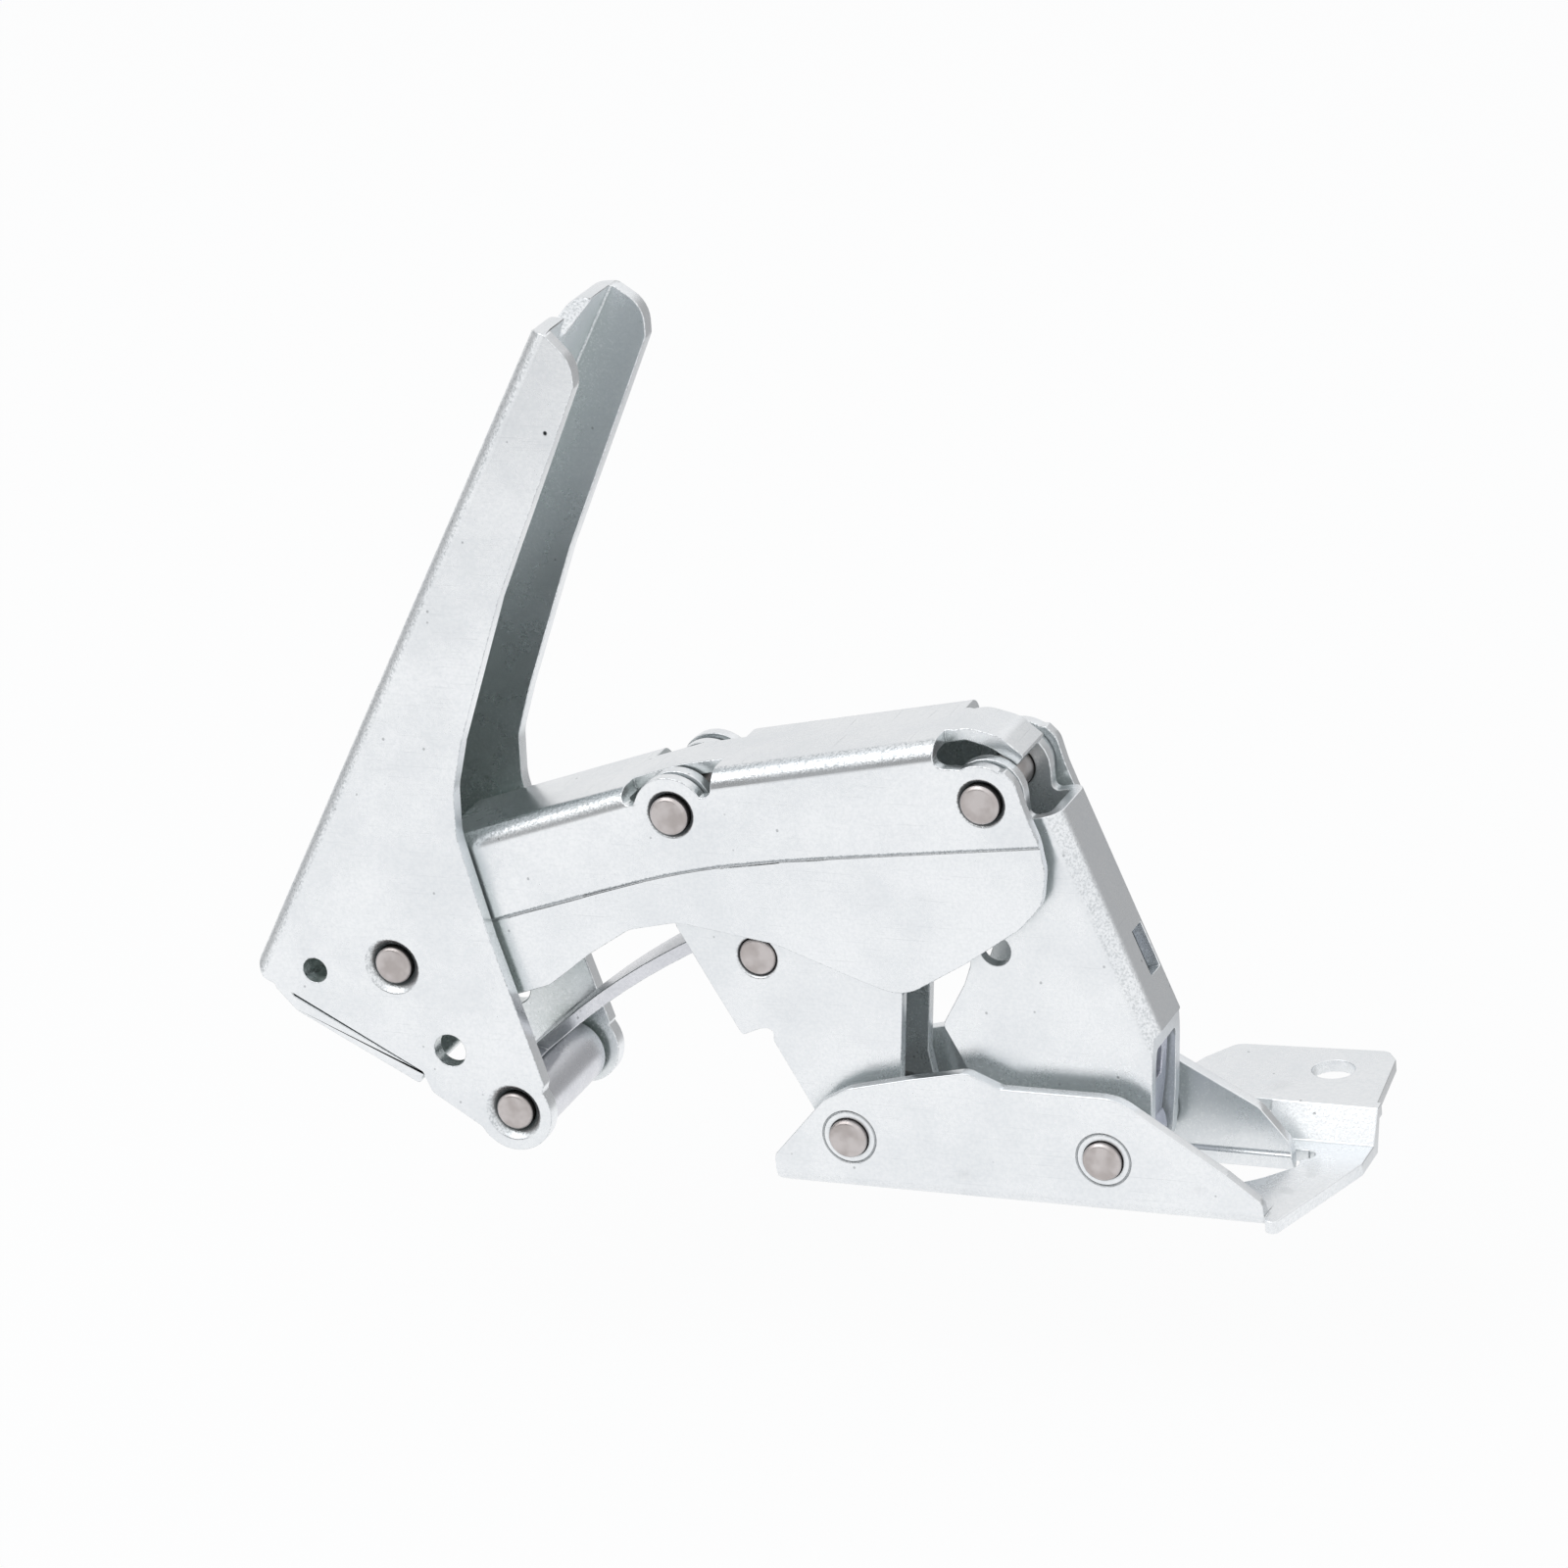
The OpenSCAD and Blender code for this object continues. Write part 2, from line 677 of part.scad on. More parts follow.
module arm_pin_outer() {
    color("rosybrown")
        pin(D, arm_w / 2 + pin_proud - 0.1);
}

module link_pin() {
    color("rosybrown")
        pin(E, cross_w / 2);
}

module bracket_pin_upper() {
    color("rosybrown")
        pin(A, bracket_w / 2 - 0.1);
}

module bracket_pin_lower() {
    color("rosybrown")
        pin(B, bracket_w / 2 - 0.1);
}

module arm_washer(p, t, side) {
    color("dimgray")
        washer(p, arm_w / 2 - arm_sheet - side_fit, t, side);
}

module plate_washer(p, link_w, side) {
    t = (plate_in - link_w) / 2 - 2 * side_fit;
    color("dimgray")
        washer(p, plate_in / 2 - side_fit, t, side);
}

door_plate();
plate_pin_inner();
plate_pin_outer();
outer_lever();
lever_strip();
main_arm();
arm_pin_inner();
arm_pin_outer();
cross_link();
link_pin();
cabinet_bracket();
bracket_pin_upper();
bracket_pin_lower();
curved_link();
arm_washer(C, washer_c_t, -1);  // washer_c_front
arm_washer(C, washer_c_t, 1);  // washer_c_back
arm_washer(D, washer_d_t, -1);  // washer_d_front
arm_washer(D, washer_d_t, 1);  // washer_d_back
plate_washer(F, cross_w, -1);  // washer_f_front
plate_washer(F, cross_w, 1);  // washer_f_back
plate_washer(G, lever_w, -1);  // washer_g_front
plate_washer(G, lever_w, 1);  // washer_g_back
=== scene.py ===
"""Dresses the fridge door hinge: broken edges, pressed details, zinc plate finishes, studio and camera."""

import json
import math

import bmesh
import bpy
from mathutils import Matrix, Vector
from mathutils.bvhtree import BVHTree


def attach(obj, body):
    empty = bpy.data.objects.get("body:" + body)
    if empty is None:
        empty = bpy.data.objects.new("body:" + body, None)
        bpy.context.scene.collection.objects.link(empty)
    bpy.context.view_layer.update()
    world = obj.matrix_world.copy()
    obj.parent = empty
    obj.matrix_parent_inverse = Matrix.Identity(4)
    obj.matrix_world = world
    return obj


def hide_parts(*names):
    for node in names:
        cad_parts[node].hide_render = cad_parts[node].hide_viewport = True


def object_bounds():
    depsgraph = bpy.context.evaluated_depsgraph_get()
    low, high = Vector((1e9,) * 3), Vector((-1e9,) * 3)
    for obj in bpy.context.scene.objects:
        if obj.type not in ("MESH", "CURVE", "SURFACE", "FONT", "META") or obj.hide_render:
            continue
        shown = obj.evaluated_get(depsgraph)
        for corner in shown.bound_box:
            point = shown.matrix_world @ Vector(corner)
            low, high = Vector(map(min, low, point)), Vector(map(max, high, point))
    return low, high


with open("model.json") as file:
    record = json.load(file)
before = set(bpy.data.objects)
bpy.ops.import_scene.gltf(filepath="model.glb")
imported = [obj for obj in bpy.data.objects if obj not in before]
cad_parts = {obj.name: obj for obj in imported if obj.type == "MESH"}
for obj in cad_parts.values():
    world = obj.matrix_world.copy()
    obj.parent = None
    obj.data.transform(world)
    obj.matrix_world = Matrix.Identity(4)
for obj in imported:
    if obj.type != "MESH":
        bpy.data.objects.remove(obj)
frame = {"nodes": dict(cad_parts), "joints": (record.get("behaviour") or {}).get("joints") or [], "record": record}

bl_info = {
    "name": "Fridge Door Hinge Dresser",
    "version": (1, 0, 0),
    "blender": (4, 5, 0),
    "location": "View3D > Sidebar > Hinge",
    "description": "Builds the visible pieces of a seven-pivot fridge door hinge round its CAD frame",
    "category": "Object",
}

MM = 0.001
CAD_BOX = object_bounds()
RECORD = frame["record"]
BODY_OF = {node: body for body, nodes in RECORD["behaviour"]["bodies"].items() for node in nodes}
SLOT_OF = {part["node"]: part["material_slot"] for part in RECORD["subparts"]}
PINS = tuple(node for node in BODY_OF if "_pin" in node)
WASHERS = tuple(node for node in BODY_OF if node.startswith("washer"))
JOINTS = {joint["name"]: joint for joint in frame["joints"]}


def beside(joint, along, up, across=0.0):
    """A point in millimetres, set off from a joint's axis on the hinge's centre plane."""
    x, _, z = JOINTS[joint]["pos_m"]
    return x / MM + along, across, z / MM + up


# Small helpers

SMOOTH = {"interpolation_type": "SMOOTHSTEP"}
PRODUCT = {"operation": "MULTIPLY"}
SUM = {"operation": "ADD"}
COLOURS = {"data_type": "RGBA", "take": 2}


def linear(colour):
    """An sRGB hex colour as linear red, green, blue and alpha."""
    parts = [int(colour[i:i + 2], 16) / 255 for i in (1, 3, 5)]
    return [c / 12.92 if c <= 0.04045 else ((c + 0.055) / 1.055) ** 2.4 for c in parts] + [1.0]


def opaque(colour):
    """A colour setting with its alpha."""
    return list(colour) + [1.0]


def per_mm(size):
    """Texture scale at which one feature is this many millimetres wide."""
    return 1 / (size * MM)


def add(tree, kind, inputs=(), take=0, **settings):
    """Adds a shader node with its settings, sets or links its inputs and gives one of its outputs."""
    node = tree.nodes.new("ShaderNode" + kind)
    for name, value in settings.items():
        setattr(node, name, value)
    for key, value in inputs.items() if isinstance(inputs, dict) else enumerate(inputs):
        if isinstance(value, bpy.types.NodeSocket):
            tree.links.new(value, node.inputs[key])
        else:
            node.inputs[key].default_value = value
    return node.outputs[take] if node.outputs else None


def empty_material(name):
    """A new material and its empty node tree."""
    material = bpy.data.materials.new(name)
    material.use_nodes = True
    material.node_tree.nodes.clear()
    return material, material.node_tree


# Materials

# Sizes in the zinc plate, in millimetres: clouds, the grain along bends (also the size of its painted dark
# reflection and of the painted glints), ripples and the mesh of the pits
CLOUDS_MM, PEEL_MM, RIPPLES_MM, PITS_MM = 14, 0.38, 5, 4.5
# Two sets of scratches: degrees off level, width and length in millimetres
SCRATCHES = ((38, 0.12, 16), (-63, 0.1, 9))
EDGE_RAYS = 4
HOLLOW_RAYS = 6


def near(tree, place, centre, radius, soft):
    """1 inside a ball round a point in millimetres, fading to 0 at its edge."""
    away = add(tree, "VectorMath", (place, [c * MM for c in centre]), "Value", operation="DISTANCE")
    return add(tree, "MapRange", (away, (radius - soft) * MM, (radius + soft) * MM, 1.0, 0.0), **SMOOTH)


def scratches(tree, place, angle, width, length):
    """Hairline scratches, drawn about twice as wide as real ones so that they show."""
    turned = add(tree, "Mapping", {"Vector": place, "Rotation": (0.0, math.radians(angle), 0.0),
                                   "Scale": (per_mm(length), per_mm(length), per_mm(width))})
    lines = add(tree, "TexNoise", {"Vector": turned, "Scale": 1.0, "Detail": 1.0})
    return add(tree, "MapRange", (lines, 0.71, 0.77), **SMOOTH)


def bend_grain_and_reflection(tree, grain):
    """The coarse grain where the press has bent the sheet, away from its flat faces; in the colour its dark
    speckle is painted reflection as well as grain.

    Every sheet is bent round lines that lie along X or Z, so a bend is where the surface leans to Y.
    """
    normal = add(tree, "NewGeometry", take="Normal")
    lean = add(tree, "Math", (add(tree, "SeparateXYZ", (normal,), 1),), operation="ABSOLUTE")
    off_web = add(tree, "MapRange", (lean, 0.04, 0.3), **SMOOTH)
    off_wall = add(tree, "MapRange", (lean, 0.995, 0.93), **SMOOTH)
    bend = add(tree, "Math", (off_web, off_wall), **PRODUCT)
    return add(tree, "Math", (bend, add(tree, "MapRange", (grain, 0.4, 0.66), **SMOOTH)), **PRODUCT)


def zinc_plate(name, light, dark, inner, grain_mm, roughness, bends=1.0, details=()):
    """Bright zinc plate on pressed steel sheet, plated in a barrel.

    The eye sees a pale blue-grey metal with fine sparkle, faint clouds, soft ripples from the press,
    hairline scratches, small pits and coarse grain along the bends. Painted light is mixed in: a dark
    speckle on the bends that is painted reflection, a brighter band on cut edges that is wear and painted
    highlight, painted shade in grooves and at joins, and painted shade with painted glints in the insides.
    """
    material, tree = empty_material(name)
    finish = bpy.context.scene.hinge_finish
    place = add(tree, "TexCoord", take="Object")
    clouds, grain, peel, ripple = (
        add(tree, "TexNoise",
            {"Vector": place, "Scale": per_mm(size), "Detail": detail, "Roughness": rough})
        for size, detail, rough in ((CLOUDS_MM, 4.0, 0.6), (grain_mm, 2.0, 0.7),
                                    (PEEL_MM, 2.0, 0.7), (RIPPLES_MM, 1.0, 0.5)))
    pits = add(tree, "TexVoronoi", {"Vector": place, "Scale": per_mm(PITS_MM)})
    pit = add(tree, "MapRange", (pits, 0.03, 0.065, 1.0, 0.0), **SMOOTH)
    lines = add(tree, "Math", [scratches(tree, place, *run) for run in SCRATCHES], **SUM)
    bend = add(tree, "Math", (bend_grain_and_reflection(tree, peel), bends), **PRODUCT)

    flat = add(tree, "NewGeometry", take="Normal")
    # Cut edges: a brighter speckled band that is sheared-edge wear and painted highlight
    rounded_normal = add(tree, "Bevel", {"Radius": finish.edge_wear_and_highlight}, samples=EDGE_RAYS)
    agree = add(tree, "VectorMath", (flat, rounded_normal), "Value", operation="DOT_PRODUCT")
    edge = add(tree, "Math", (add(tree, "MapRange", (agree, 0.99, 0.86), **SMOOTH),
                              add(tree, "MapRange", (grain, 0.38, 0.6, 0.35, 1.0), **SMOOTH)), **PRODUCT)
    # Painted shade: where little of the surround reaches a face, as in the channels' insides, its colour turns to
    # inner
    open_sky = add(tree, "AmbientOcclusion", {"Distance": finish.hollow_shade_reach}, "AO", samples=HOLLOW_RAYS)
    inside = add(tree, "MapRange", (open_sky, 0.75, 0.2), **SMOOTH)
    # Painted shade in the grooves, the crease and where parts meet, from how little of the surround reaches them
    open_near = add(tree, "AmbientOcclusion", {"Distance": finish.groove_shade_reach}, "AO", samples=HOLLOW_RAYS)
    groove = add(tree, "MapRange", (open_near, 0.86, 0.45, 0.0, finish.groove_shade), **SMOOTH)
    # Painted glints: bright specks in the insides' painted shade
    painted_glints = add(tree, "MapRange", (peel, 0.56, 0.64, 0.0, 0.9), **SMOOTH)

    shade = add(tree, "Math", (add(tree, "MapRange", (clouds, 0.35, 0.7, 0.0, 0.35), **SMOOTH),
                               add(tree, "MapRange", (grain, 0.3, 0.72, 0.0, 0.4), **SMOOTH)), **SUM)
    colour = add(tree, "Mix", {0: shade, 6: light, 7: dark}, **COLOURS)
    # The colour of the insides' painted shade, dotted with painted glints
    dull = add(tree, "Mix", {0: painted_glints, 6: inner, 7: linear("#F0F5F3")}, **COLOURS)
    colour = add(tree, "Mix", {0: inside, 6: colour, 7: dull}, **COLOURS)
    # Bends take a dark speckle that is grain and painted reflection, grooves painted shade, pits and scratches
    # their own darker marks, and cut edges a band that is wear and painted highlight
    for share, strength, tint in ((bend, finish.bend_shade, "#7F888C"), (groove, 1.0, "#6C7478"),
                                  (pit, 0.45, "#6B7073"), (lines, 0.16, "#9AA2A6"), (edge, 0.6, "#F4F6F8")):
        amount = add(tree, "Math", (share, strength), **PRODUCT)
        colour = add(tree, "Mix", {0: amount, 6: colour, 7: linear(tint)}, **COLOURS)
    # Heights in millimetres
    height = add(tree, "Math", (grain, finish.grain_height / MM), **PRODUCT)
    for share, rise in ((ripple, 0.008), (bend, 0.012), (lines, -0.002), (pit, -0.02)):
        height = add(tree, "Math", (share, rise, height), operation="MULTIPLY_ADD")
    for share, tint, rise in (make(tree, place) for make in details):
        if tint:
            colour = add(tree, "Mix", {0: share, 6: colour, 7: linear(tint)}, **COLOURS)
        if rise:
            height = add(tree, "Math", (share, rise, height), operation="MULTIPLY_ADD")

    rough = add(tree, "MapRange", (clouds, 0.3, 0.75, roughness - 0.04, roughness + 0.05), **SMOOTH)
    rough = add(tree, "Math", (grain, 0.06, rough), operation="MULTIPLY_ADD")
    rough = add(tree, "Math", (bend, 0.12, rough), operation="MULTIPLY_ADD")
    bump = add(tree, "Bump", {"Strength": 1.0, "Distance": MM, "Height": height})
    # Less metal in the insides, which goes with their painted shade
    bright = add(tree, "MapRange", (inside, 0.0, 1.0, 1.0, 0.4))
    shader = add(tree, "BsdfPrincipled",
                 {"Metallic": bright, "Base Color": colour, "Roughness": rough, "Normal": bump})
    add(tree, "OutputMaterial", (shader,))
    return material


def plate_dimple(centre):
    """A shallow round dimple left by the press in the front of the door plate."""
    radius, soft, rise = 1.6, 1.2, 0.22
    return lambda tree, place: (near(tree, place, centre, radius, soft), None, rise)


def bracket_speck(tree, place):
    """A small dark speck on the front of the bracket, near its tip."""
    spot = beside("bracket_on_arm", 35.2, 86.8, -13.2)
    radius, soft, rise = 0.32, 0.12, -0.05
    return near(tree, place, spot, radius, soft), "#2B2F31", rise


def ink_smear(tree, place):
    """A faint smear of blue marking ink at the arm's lower left corner, by the bracket's edge."""
    streak_mm, radius, soft = 1.6, 1.9, 1.6
    spread = add(tree, "TexNoise", {"Vector": place, "Scale": per_mm(streak_mm), "Detail": 3.0})
    blot = near(tree, place, beside("bracket_on_arm", 14.3, -2.3, -10.2), radius, soft)
    streaks = add(tree, "MapRange", (spread, 0.4, 0.6), **SMOOTH)
    return add(tree, "Math", (blot, streaks), **PRODUCT), "#3F63C8", None


# inner is the colour of the painted shade in a sheet's insides
def sheet_plate(name, inner, grain_mm, roughness, bends=1.0, details=()):
    """Zinc plate in the colours that all the pressed sheets share."""
    finish = bpy.context.scene.hinge_finish
    return zinc_plate(name, opaque(finish.sheet_light), opaque(finish.sheet_dark), linear(inner),
                      grain_mm, roughness, bends, details)


def plate_finish():
    """Door plate: zinc plate on thick pressed sheet, scuffed on its broad front face."""
    dimples = [plate_dimple(beside("fold", *spot)) for spot in ((-22, -6, -11.25), (14.6, -5, -11.25))]
    return sheet_plate("zinc_plated_sheet_plate", "#D3D9DA", grain_mm=0.6, roughness=0.25, bends=0.2,
                       details=dimples)


def arm_finish():
    """Main arm: zinc plate over deep pressed folds, with a little marking ink."""
    return sheet_plate("zinc_plated_sheet_arm", "#CBD3D2", grain_mm=0.55, roughness=0.23,
                       details=(ink_smear,))


def bracket_finish():
    """Cabinet bracket: zinc plate, smooth outside, with green-grey painted shade inside."""
    return sheet_plate("zinc_plated_sheet_bracket", "#A9B8B2", grain_mm=0.5, roughness=0.24, bends=0.8,
                       details=(bracket_speck,))


def link_finish():
    """Links: zinc plate on flatter blanks, with a finer grain."""
    return sheet_plate("zinc_plated_sheet_link", "#D3D9DA", grain_mm=0.5, roughness=0.26, bends=0.6)


def strap_finish():
    """Curved link: zinc plate on rolled strip, a touch violet where it is rolled."""
    # The last colour is the painted shade in the strap's insides
    light, dark, inner = (linear(colour) for colour in ("#E6E7EC", "#CDCFD5", "#C6C8CC"))
    return zinc_plate("zinc_plated_rolled_strip", light, dark, inner, grain_mm=0.45, roughness=0.24)


def strip_finish():
    """Spring strip: bright rolled spring steel under a thin clear passivation with a lavender cast."""
    strip = opaque(bpy.context.scene.hinge_finish.strip)
    return zinc_plate("passivated_spring_strip", strip, linear("#C8CAD9"), strip, grain_mm=0.4,
                      roughness=0.2)


def pin_finish():
    """Riveted pins: cropped and spun bright steel.

    The eye sees a warm grey end with faint spun rings and a dull grain, with a darker, browner painted shade down
    its side where it sinks into its hole.
    """
    material, tree = empty_material("spun_steel_pin")
    pin = opaque(bpy.context.scene.hinge_finish.pin)
    grain_mm, clouds_mm, reach_mm = 0.45, 3, 2
    place = add(tree, "TexCoord", take="Object")
    grain = add(tree, "TexNoise",
                {"Vector": place, "Scale": per_mm(grain_mm), "Detail": 3.0, "Roughness": 0.7})
    clouds = add(tree, "TexNoise", {"Vector": place, "Scale": per_mm(clouds_mm), "Detail": 2.0})
    # Painted shade: darker and browner down the pin's side, where little of the surround reaches it
    open_near = add(tree, "AmbientOcclusion", {"Distance": reach_mm * MM}, "AO", samples=HOLLOW_RAYS)
    shade = add(tree, "MapRange", (clouds, 0.35, 0.65), **SMOOTH)
    shaft_shade = add(tree, "MapRange", (open_near, 0.85, 0.45), **SMOOTH)
    colour = add(tree, "Mix", {0: shade, 6: pin, 7: linear("#B9B2B0")}, **COLOURS)
    colour = add(tree, "Mix", {0: shaft_shade, 6: colour, 7: linear("#6F6866")}, **COLOURS)
    swell = add(tree, "Math", (clouds, 0.03), **PRODUCT)
    height = add(tree, "Math", (grain, 0.02, swell), operation="MULTIPLY_ADD")
    bump = add(tree, "Bump", {"Strength": 1.0, "Distance": MM, "Height": height})
    rough = add(tree, "MapRange", (grain, 0.3, 0.7, 0.3, 0.42), **SMOOTH)
    shader = add(tree, "BsdfPrincipled",
                 {"Metallic": 1.0, "Base Color": colour, "Roughness": rough, "Normal": bump})
    add(tree, "OutputMaterial", (shader,))
    return material


def washer_finish():
    """Washers: hard drawn steel, a little duller than the plated sheet."""
    # The last colour is the painted shade in the washers' insides
    light, dark, inner = (linear(colour) for colour in ("#D9DCDF", "#BFC4C8", "#B4B9BB"))
    return zinc_plate("tumbled_steel_washer", light, dark, inner, grain_mm=0.4, roughness=0.33)


FINISHES = {
    "plate_sheet": plate_finish,
    "arm_sheet": arm_finish,
    "bracket_sheet": bracket_finish,
    "link_sheet": link_finish,
    "strap_sheet": strap_finish,
    "spring_strip": strip_finish,
    "pin_steel": pin_finish,
    "washer_steel": washer_finish,
}


def finish_for(node):
    """The material for a CAD node's slot, made once."""
    name = SLOT_OF[node]
    made = bpy.context.scene.get("hinge_" + name)
    if made is None:
        made = FINISHES[name]()
        bpy.context.scene["hinge_" + name] = made
    return made


# Pieces

# How near two points become one, in millimetres: in the solid's own mesh, and before and after its edges
# are rounded
SAME_IN_SOLID, SAME_BEFORE, SAME_AFTER = 0.002, 0.01, 0.02
# Angles between two faces, in degrees: up to which they are one flat face, from which the edge is rounded,
# and from which the shading breaks
FLAT_WITHIN, ROUND_FROM, SHARP_FROM = 0.6, 38, 50
# How far a point may stray off the solid, as a share of the rim
STRAY = 0.45
FACE_WEIGHT = 90


def weld(piece, close):
    """Joins a piece's points that lie this many millimetres apart."""
    shape = bmesh.new()
    shape.from_mesh(piece.data)
    bmesh.ops.remove_doubles(shape, verts=shape.verts, dist=close * MM)
    bmesh.ops.dissolve_degenerate(shape, edges=shape.edges, dist=close * MM / 2)
    return shape


def solid_copy(node, rim):
    """A copy of a CAD solid as one welded mesh, on its CAD body."""
    piece = bpy.data.objects.new(node + "_dressed", frame["nodes"][node].data.copy())
    bpy.context.scene.collection.objects.link(piece)
    shape = weld(piece, SAME_IN_SOLID)
    shape.to_mesh(piece.data)
    shape.free()
    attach(piece, BODY_OF[node])
    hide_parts(node)
    piece["rim"] = rim
    return piece


def carve(piece, cutters):
    """Cuts closed meshes out of a piece and removes them."""
    for cutter in cutters:
        cut = piece.modifiers.new("cut", "BOOLEAN")
        cut.operation, cut.solver, cut.object = "DIFFERENCE", "EXACT", cutter
        settle(piece)
        bpy.data.objects.remove(cutter)


def settle(piece):
    """Turns a piece's modifiers into plain mesh."""
    view = bpy.context.evaluated_depsgraph_get()
    mesh = bpy.data.meshes.new_from_object(piece.evaluated_get(view))
    piece.modifiers.clear()
    piece.data = mesh


def pull_in(piece, skin, reach):
    """Moves the stray points of crowded corners back onto the solid's surface."""
    for vertex in piece.data.vertices:
        spot, _, _, away = skin.find_nearest(vertex.co)
        if away > reach:
            vertex.co = spot


def break_edges(piece, material):
    """Rounds a piece's sharp edges as tumbling does, smooths its curved faces and paints it."""
    rim = piece["rim"]
    shape = weld(piece, SAME_BEFORE)
    flat = math.radians(FLAT_WITHIN)
    bmesh.ops.dissolve_limit(shape, angle_limit=flat, verts=shape.verts, edges=shape.edges)
    skin = BVHTree.FromBMesh(shape)
    shape.to_mesh(piece.data)
    shape.free()
    round_off = piece.modifiers.new("tumbled", "BEVEL")
    round_off.width = rim
    round_off.segments = 2
    round_off.limit_method = "ANGLE"
    round_off.angle_limit = math.radians(ROUND_FROM)
    round_off.use_clamp_overlap = False
    settle(piece)
    pull_in(piece, skin, rim * STRAY)
    shape = weld(piece, SAME_AFTER)
    shape.to_mesh(piece.data)
    shape.free()
    for face in piece.data.polygons:
        face.use_smooth = True
    piece.data.set_sharp_from_angle(angle=math.radians(SHARP_FROM))
    weigh = piece.modifiers.new("weigh", "WEIGHTED_NORMAL")
    weigh.keep_sharp = True
    weigh.weight = FACE_WEIGHT
    settle(piece)
    piece.data.materials.clear()
    piece.data.materials.append(material)
    if not piece.data.polygons:
        raise RuntimeError(f"{piece.name} came out empty")


def slab(name, front, back):
    """A closed mesh between two outlines of the same number of points."""
    count = len(front)
    faces = [list(range(count))[::-1], list(range(count, 2 * count))]
    faces += [[i, (i + 1) % count, (i + 1) % count + count, i + count] for i in range(count)]
    mesh = bpy.data.meshes.new(name)
    mesh.from_pydata([Vector(p) * MM for p in front + back], [], faces)
    shape = bmesh.new()
    shape.from_mesh(mesh)
    bmesh.ops.recalc_face_normals(shape, faces=shape.faces)
    shape.to_mesh(mesh)
    shape.free()
    cutter = bpy.data.objects.new(name, mesh)
    bpy.context.scene.collection.objects.link(cutter)
    return cutter


def eased(points):
    """A run of points whose corners are cut three times over, so that it bends smoothly."""
    for _ in range(3):
        inner = [tuple(a + (b - a) * part for a, b in zip(*pair))
                 for pair in zip(points, points[1:]) for part in (0.25, 0.75)]
        points = [points[0]] + inner + [points[-1]]
    return points


# Line under which the arm's walls are set in by the press, along X and Z in millimetres
CREASE = eased([beside("arm_on_lever", along, up)[::2] for along, up in (
    (-95.3, -39.9), (-88.3, -27.7), (-81.3, -24.7), (-64, -18.9), (-47.6, -13.8), (-31.6, -11.1),
    (-16, -9.2), (6.9, -6.5), (13.7, -5.7))])
# In millimetres: the arm's half width, the groove on the crease, how far cutters reach past the wall, and a
# height below the arm
ARM_HALF = 10.248
GROOVE_WIDTH = 1.0
GROOVE_DEEPER = 0.12
GROOVE_FOOT = 0.1
GROOVE_PAST, CREASE_PAST, EARS_PAST = 0.05, 1, 2
UNDER_ARM = -20
# How far the crease's face drops for each millimetre that it goes in
CREASE_SLOPE = 1.0


def ear_cutter(side):
    """All that stands proud of one wall of the arm, so that its coined ears come level."""
    (left, _, low), (right, _, high) = ([c / MM for c in corner] for corner in CAD_BOX)
    corners = [(left, low), (right, low), (right, high), (left, high)]
    wall, outside = ([(x, side * off, z) for x, z in corners] for off in (ARM_HALF, ARM_HALF + EARS_PAST))
    return slab("ears", wall, outside)


def crease_cutters(side, depth):
    """The band that the press sets in along the lower part of one wall, and the groove on top of it."""
    outside, inside = side * (ARM_HALF + CREASE_PAST), side * (ARM_HALF - depth)
    ends = [(CREASE[-1][0], UNDER_ARM), (CREASE[0][0], UNDER_ARM)]
    front = [(x, outside, z + CREASE_SLOPE * CREASE_PAST) for x, z in CREASE]
    front += [(x, outside, z) for x, z in ends]
    back = [(x, inside, z - CREASE_SLOPE * depth) for x, z in CREASE]
    back += [(x, inside, z) for x, z in ends]
    run = [(x, z - CREASE_SLOPE * depth / 2) for x, z in CREASE]
    top, bottom = side * (ARM_HALF + GROOVE_PAST), side * (ARM_HALF - depth - GROOVE_DEEPER)
    rim, foot = ([(x, y, z + half) for x, z in run] + [(x, y, z - half) for x, z in run[::-1]]
                 for y, half in ((top, GROOVE_WIDTH / 2), (bottom, GROOVE_FOOT / 2)))
    return [slab("crease", front, back), slab("groove", rim, foot)]


# Settings

class HingeShape(bpy.types.PropertyGroup):
    """Sizes that a user would change."""

    sheet_rim: bpy.props.FloatProperty(
        name="Sheet rim", description="Round along the cut edges of the sheets",
        default=0.18 * MM, min=0.02 * MM, max=0.4 * MM, precision=5, unit="LENGTH")
    pin_rim: bpy.props.FloatProperty(
        name="Pin rim", description="Round along the ends of the pins",
        default=0.16 * MM, min=0.02 * MM, max=0.4 * MM, precision=5, unit="LENGTH")
    crease_depth: bpy.props.FloatProperty(
        name="Crease depth", description="How far the lower part of the arm's walls is set in",
        default=0.4 * MM, min=0.1 * MM, max=0.9 * MM, precision=5, unit="LENGTH")


